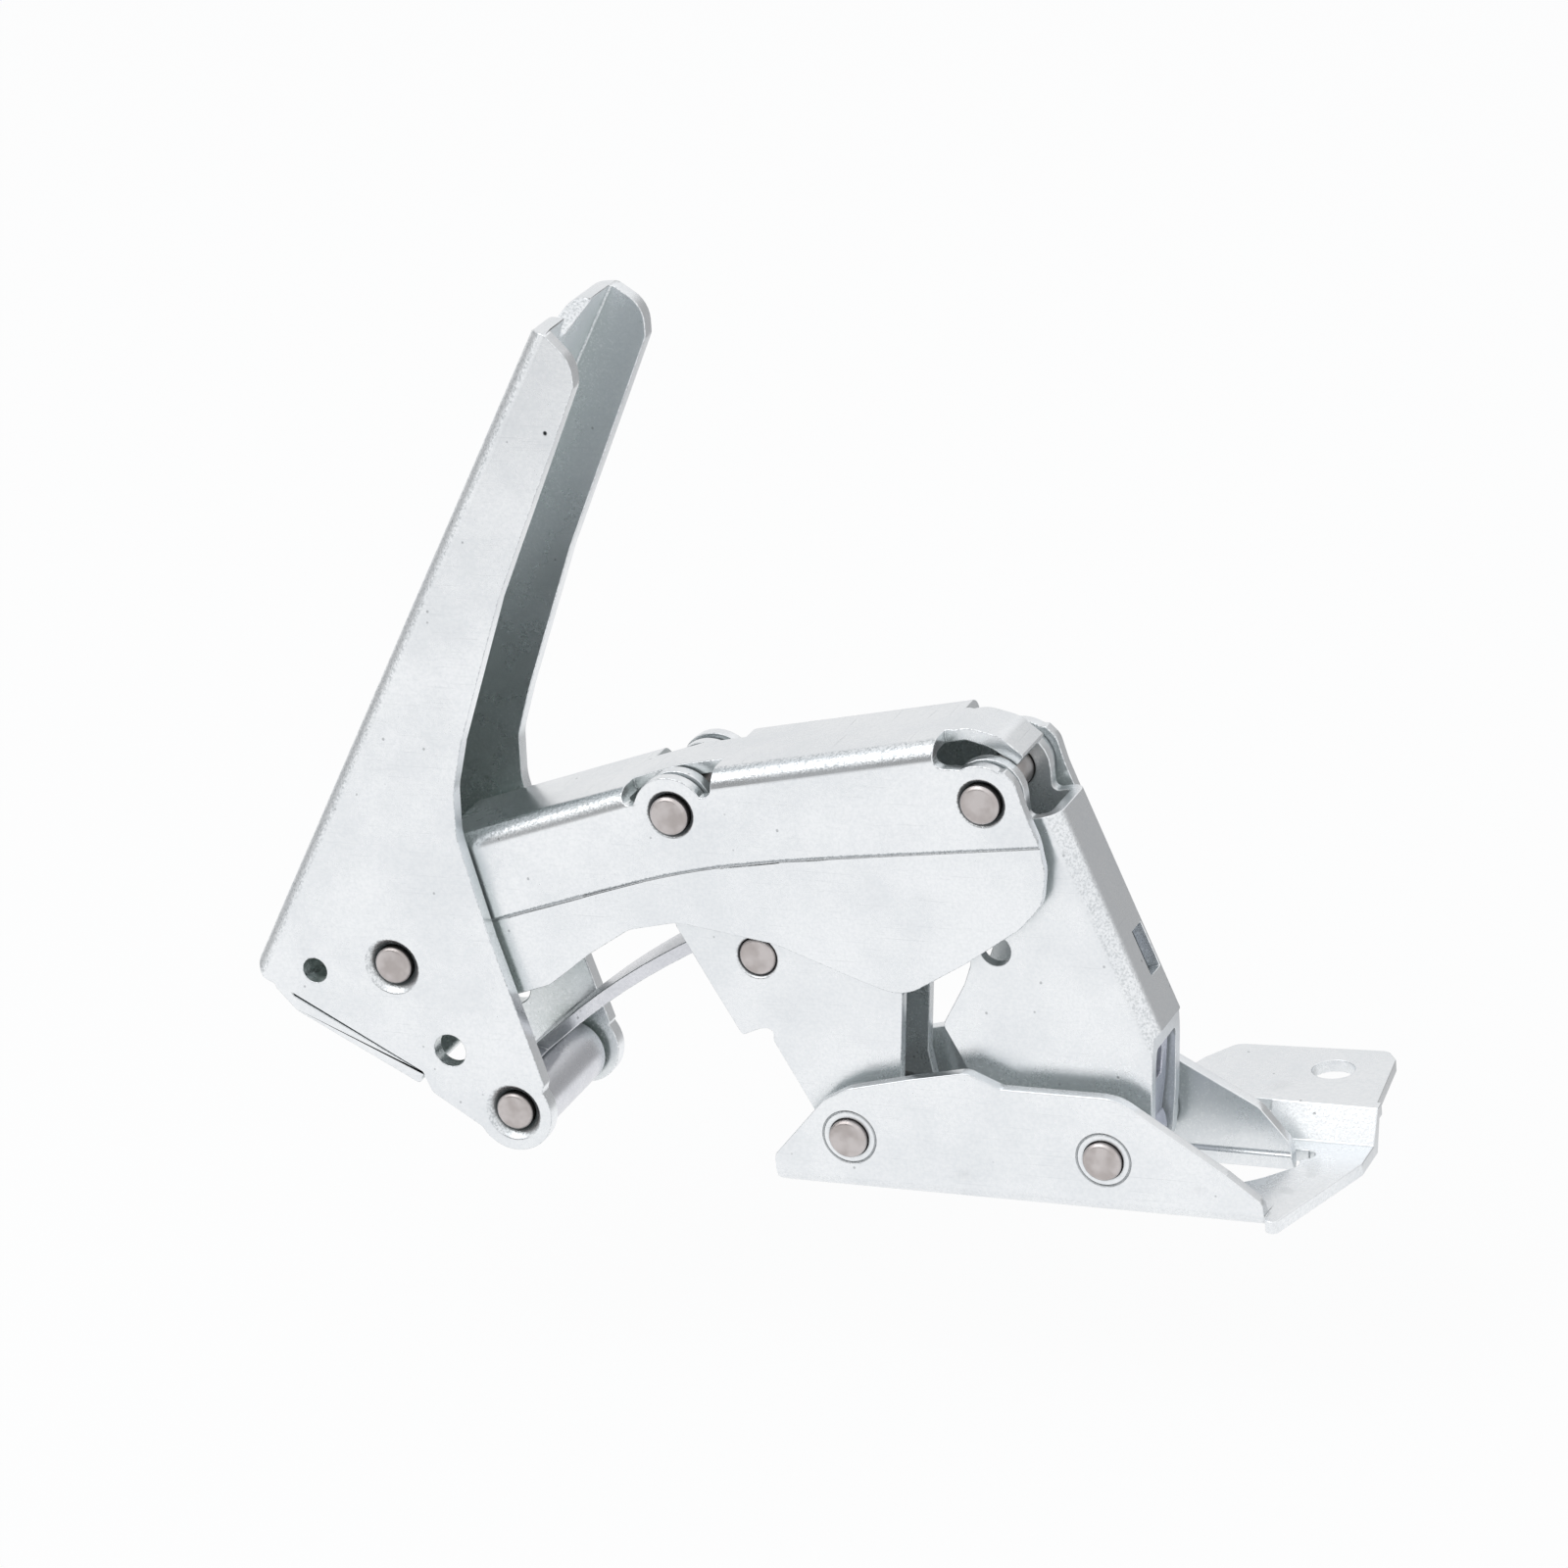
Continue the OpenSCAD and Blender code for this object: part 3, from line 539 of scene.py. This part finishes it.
class HingeFinish(bpy.types.PropertyGroup):
    """Sizes and colours in the finishes."""

    sheet_light: bpy.props.FloatVectorProperty(
        name="Sheet, light", description="Lighter colour of the zinc plate on the sheets", subtype="COLOR",
        default=linear("#F7F9FB")[:3], min=0.0, max=1.0)
    sheet_dark: bpy.props.FloatVectorProperty(
        name="Sheet, dark", description="Darker colour in the zinc plate's clouds and grain",
        subtype="COLOR", default=linear("#E6EAEE")[:3], min=0.0, max=1.0)
    strip: bpy.props.FloatVectorProperty(
        name="Spring strip", description="Colour of the spring strip in the lever", subtype="COLOR",
        default=linear("#DFE0EC")[:3], min=0.0, max=1.0)
    pin: bpy.props.FloatVectorProperty(
        name="Pins", description="Colour of the pins' spun ends", subtype="COLOR",
        default=linear("#CFC9C8")[:3], min=0.0, max=1.0)
    # The brighter band on cut edges is wear and painted highlight
    edge_wear_and_highlight: bpy.props.FloatProperty(
        name="Edge wear", description="Width of the brighter band along cut edges",
        default=0.35 * MM, min=0.05 * MM, max=1 * MM, precision=5, unit="LENGTH")
    # The painted shade in the insides fades in over this reach
    hollow_shade_reach: bpy.props.FloatProperty(
        name="Hollow depth", description="Reach over which the insides turn darker",
        default=22 * MM, min=2 * MM, max=60 * MM, precision=4, unit="LENGTH")
    # The dull line in grooves and at joins is painted shade; these two set its reach and strength
    groove_shade_reach: bpy.props.FloatProperty(
        name="Groove reach", description="Width of the dull line in grooves and at joins",
        default=0.8 * MM, min=0.1 * MM, max=3 * MM, precision=5, unit="LENGTH")
    groove_shade: bpy.props.FloatProperty(
        name="Groove shade", description="How strong the dull line in grooves is",
        default=0.75, min=0.0, max=1.0, subtype="FACTOR")
    # The bends' dark speckle is grain in part and painted reflection in part
    bend_shade: bpy.props.FloatProperty(
        name="Bend grain", description="How dark the grain along the bends is",
        default=0.55, min=0.0, max=1.0, subtype="FACTOR")
    grain_height: bpy.props.FloatProperty(
        name="Grain height", description="Height of the zinc's grain",
        default=0.006 * MM, min=0.0, max=0.05 * MM, precision=7, unit="LENGTH")


class HingeStage(bpy.types.PropertyGroup):
    """The studio's floor, lamp and camera."""

    floor_colour: bpy.props.FloatVectorProperty(
        name="Floor", description="Colour of the floor", subtype="COLOR", size=3,
        default=linear("#F5F6F7")[:3], min=0.0, max=1.0)
    floor_drop: bpy.props.FloatProperty(
        name="Floor drop", description="From the plate's underside to the floor, past the open bracket",
        default=33 * MM, min=0.0, max=0.5, precision=4, unit="LENGTH")
    lamp_power: bpy.props.FloatProperty(
        name="Lamp power", description="Power of the large soft lamp over the hinge",
        default=3.5, min=0.0, subtype="POWER")
    camera_distance: bpy.props.FloatProperty(
        name="Camera distance", description="From the middle of the view to the camera",
        default=0.85, min=0.3, max=3.0, unit="LENGTH")


# Operators

class HINGE_OT_door_plate(bpy.types.Operator):
    """Dresses the door plate, whose channel, step and screw flange are fixed to the door."""

    bl_idname = "hinge.door_plate"
    bl_label = "Door plate"

    def execute(self, context):
        piece = solid_copy("door_plate", context.scene.hinge_shape.sheet_rim)
        break_edges(piece, finish_for("door_plate"))
        return {"FINISHED"}


class HINGE_OT_main_arm(bpy.types.Operator):
    """Dresses the main arm, whose walls are set in below a pressed crease."""

    bl_idname = "hinge.main_arm"
    bl_label = "Main arm"

    def execute(self, context):
        shape = context.scene.hinge_shape
        piece = solid_copy("main_arm", shape.sheet_rim)
        depth = shape.crease_depth / MM
        for side in (-1, 1):
            carve(piece, [ear_cutter(side)] + crease_cutters(side, depth))
        break_edges(piece, finish_for("main_arm"))
        return {"FINISHED"}


class HINGE_OT_links(bpy.types.Operator):
    """Dresses the outer lever, its spring strip, the cross link and the curved link."""

    bl_idname = "hinge.links"
    bl_label = "Links"

    def execute(self, context):
        for node in ("outer_lever", "lever_strip", "cross_link", "curved_link"):
            piece = solid_copy(node, context.scene.hinge_shape.sheet_rim)
            break_edges(piece, finish_for(node))
        return {"FINISHED"}


class HINGE_OT_bracket(bpy.types.Operator):
    """Dresses the long bracket that goes into the cabinet."""

    bl_idname = "hinge.bracket"
    bl_label = "Cabinet bracket"

    def execute(self, context):
        piece = solid_copy("cabinet_bracket", context.scene.hinge_shape.sheet_rim)
        break_edges(piece, finish_for("cabinet_bracket"))
        return {"FINISHED"}


class HINGE_OT_pins(bpy.types.Operator):
    """Dresses the seven pivot pins and their washers."""

    bl_idname = "hinge.pins"
    bl_label = "Pins and washers"

    def execute(self, context):
        shape = context.scene.hinge_shape
        for node in PINS + WASHERS:
            piece = solid_copy(node, shape.pin_rim if node in PINS else shape.pin_rim / 2)
            break_edges(piece, finish_for(node))
        return {"FINISHED"}


# The photograph's view: the point in millimetres that it centres on, its angles, and its lens and sensor
VIEW_CENTRE = Vector(beside("fold", -49.9, 51.9, -0.75))
AZIMUTH, ELEVATION, ROLL = (math.radians(a) for a in (23.75, 21.35, -5.28))
LENS, SENSOR = 131.96, 36.0
# In metres: how near and far the camera sees, half the floor's width, and the lamp's width and place
CLIP_NEAR, CLIP_FAR = 0.05, 20.0
FLOOR_HALF = 3.0
LAMP_WIDTH, LAMP_PLACE = 0.9, (-0.5, -0.5, 1.0)
# Share of the floor that glows white where it is seen; the rest of it is paper, which keeps the shadow
GLOW_SHARE = 0.93
SOFT_LIGHT = 0.75


def seen_by_camera(tree):
    """1 for the rays that see the background: from the camera, off metal and through glass."""
    camera, metal, glass = (add(tree, "LightPath", take=f"Is {ray} Ray")
                            for ray in ("Camera", "Glossy", "Transmission"))
    first = add(tree, "Math", (camera, metal), operation="MAXIMUM")
    return add(tree, "Math", (first, glass), operation="MAXIMUM")


# Dimmer parts of the studio that the metal shows: direction, how narrow, and how bright each is left
DIM_SIDES = (((0.51, 0.85, -0.1), 0.7, 0.42), ((-0.38, -0.9, 0.22), 0.9, 0.3),
             ((-0.98, 0.15, 0.1), 0.86, 0.55), ((-0.4, 0.85, 0.36), 0.8, 0.84))
DIM_CORE = 0.97


def backdrop_light(tree, towards):
    """White to the camera, and to the metal a surround that is dimmer on some sides."""
    shade = 1.0
    for direction, narrow, left in DIM_SIDES:
        side = Vector(direction).normalized()
        facing = add(tree, "VectorMath", (towards, side), "Value", operation="DOT_PRODUCT")
        part = add(tree, "MapRange", (facing, narrow, DIM_CORE, 1.0, left), **SMOOTH)
        shade = add(tree, "Math", (shade, part), **PRODUCT)
    camera = add(tree, "LightPath", take="Is Camera Ray")
    return add(tree, "Mix", {0: camera, 2: shade, 3: 1.0})


def make_floor(colour, drop):
    """A wide plain floor that shows white, keeps the hinge's soft shadow and clears its travel."""
    mesh = bpy.data.meshes.new("floor")
    corners = [(x * FLOOR_HALF, y * FLOOR_HALF, 0) for x, y in ((-1, -1), (1, -1), (1, 1), (-1, 1))]
    mesh.from_pydata(corners, [], [(0, 1, 2, 3)])
    floor = bpy.data.objects.new("floor", mesh)
    floor.location.z = CAD_BOX[0][2] - drop
    bpy.context.scene.collection.objects.link(floor)
    material, tree = empty_material("matt_white_paper")
    spot = add(tree, "NewGeometry", take="Position")
    away = add(tree, "VectorMath", (spot, VIEW_CENTRE * MM), operation="SUBTRACT")
    towards = add(tree, "VectorMath", (away,), operation="NORMALIZE")
    paper = add(tree, "BsdfDiffuse", {"Color": opaque(colour)})
    glow = add(tree, "Emission", {"Color": linear("#FFFFFF"), "Strength": backdrop_light(tree, towards)})
    share = add(tree, "Math", (seen_by_camera(tree), GLOW_SHARE), **PRODUCT)
    add(tree, "OutputMaterial", (add(tree, "MixShader", (share, paper, glow)),))
    mesh.materials.append(material)


def make_world():
    """Plain soft light from all round, behind a white background."""
    world = bpy.data.worlds.new("studio")
    bpy.context.scene.world = world
    world.use_nodes = True
    tree = world.node_tree
    tree.nodes.clear()
    towards = add(tree, "TexCoord", take="Generated")
    soft = add(tree, "Background", {"Color": linear("#F1F4F8"), "Strength": SOFT_LIGHT})
    white = add(tree, "Background",
                {"Color": linear("#FFFFFF"), "Strength": backdrop_light(tree, towards)})
    add(tree, "OutputWorld", (add(tree, "MixShader", (seen_by_camera(tree), soft, white)),))


def make_lamp(power):
    """A large square lamp over the hinge that faces its middle."""
    data = bpy.data.lights.new("overhead", "AREA")
    data.energy, data.size = power, LAMP_WIDTH
    lamp = bpy.data.objects.new("overhead", data)
    lamp.location = LAMP_PLACE
    aim = VIEW_CENTRE * MM - Vector(LAMP_PLACE)
    lamp.rotation_euler = aim.to_track_quat("-Z", "Y").to_euler()
    bpy.context.scene.collection.objects.link(lamp)


def make_camera(distance):
    """The camera at the photograph's viewing angle."""
    back = Vector((math.sin(AZIMUTH) * math.cos(ELEVATION), -math.cos(AZIMUTH) * math.cos(ELEVATION),
                   math.sin(ELEVATION)))
    right = Vector((0, 0, 1)).cross(back).normalized()
    up = back.cross(right)
    tilted_right = right * math.cos(ROLL) + up * math.sin(ROLL)
    tilted_up = up * math.cos(ROLL) - right * math.sin(ROLL)
    data = bpy.data.cameras.new("camera")
    data.lens, data.sensor_width, data.sensor_fit = LENS, SENSOR, "HORIZONTAL"
    data.clip_start, data.clip_end = CLIP_NEAR, CLIP_FAR
    camera = bpy.data.objects.new("camera", data)
    turn = Matrix((tilted_right, tilted_up, back)).transposed()
    camera.matrix_world = Matrix.Translation(VIEW_CENTRE * MM + back * distance) @ turn.to_4x4()
    bpy.context.scene.collection.objects.link(camera)
    bpy.context.scene.camera = camera


class HINGE_OT_stage(bpy.types.Operator):
    """Makes the floor, the white surround, the lamp and the camera."""

    bl_idname = "hinge.stage"
    bl_label = "Stage"

    def execute(self, context):
        stage = context.scene.hinge_stage
        make_floor(stage.floor_colour, stage.floor_drop)
        make_world()
        make_lamp(stage.lamp_power)
        make_camera(stage.camera_distance)
        context.scene.view_settings.view_transform = "Standard"
        return {"FINISHED"}


OPERATORS = (HINGE_OT_stage, HINGE_OT_door_plate, HINGE_OT_main_arm, HINGE_OT_links,
             HINGE_OT_bracket, HINGE_OT_pins)


class HINGE_PT_panel(bpy.types.Panel):
    """Lists the hinge's operators and settings."""

    bl_label = "Fridge door hinge"
    bl_idname = "HINGE_PT_panel"
    bl_space_type = "VIEW_3D"
    bl_region_type = "UI"
    bl_category = "Hinge"

    def draw(self, context):
        for group in (context.scene.hinge_shape, context.scene.hinge_finish, context.scene.hinge_stage):
            for name in group.__annotations__:
                self.layout.prop(group, name)
        for operator in OPERATORS:
            self.layout.operator(operator.bl_idname)


GROUPS = {"hinge_shape": HingeShape, "hinge_finish": HingeFinish, "hinge_stage": HingeStage}


def register():
    """Registers the classes and adds the settings to the scene."""
    for name, group in GROUPS.items():
        bpy.utils.register_class(group)
        setattr(bpy.types.Scene, name, bpy.props.PointerProperty(type=group))
    for item in OPERATORS + (HINGE_PT_panel,):
        bpy.utils.register_class(item)


def unregister():
    """Removes the classes and the settings."""
    for item in (HINGE_PT_panel,) + OPERATORS[::-1]:
        bpy.utils.unregister_class(item)
    for name, group in GROUPS.items():
        delattr(bpy.types.Scene, name)
        bpy.utils.unregister_class(group)


def main():
    """Makes the stage and every piece."""
    register()
    bpy.ops.hinge.stage()
    bpy.ops.hinge.door_plate()
    bpy.ops.hinge.main_arm()
    bpy.ops.hinge.links()
    bpy.ops.hinge.bracket()
    bpy.ops.hinge.pins()


if __name__ == "__main__":
    main()
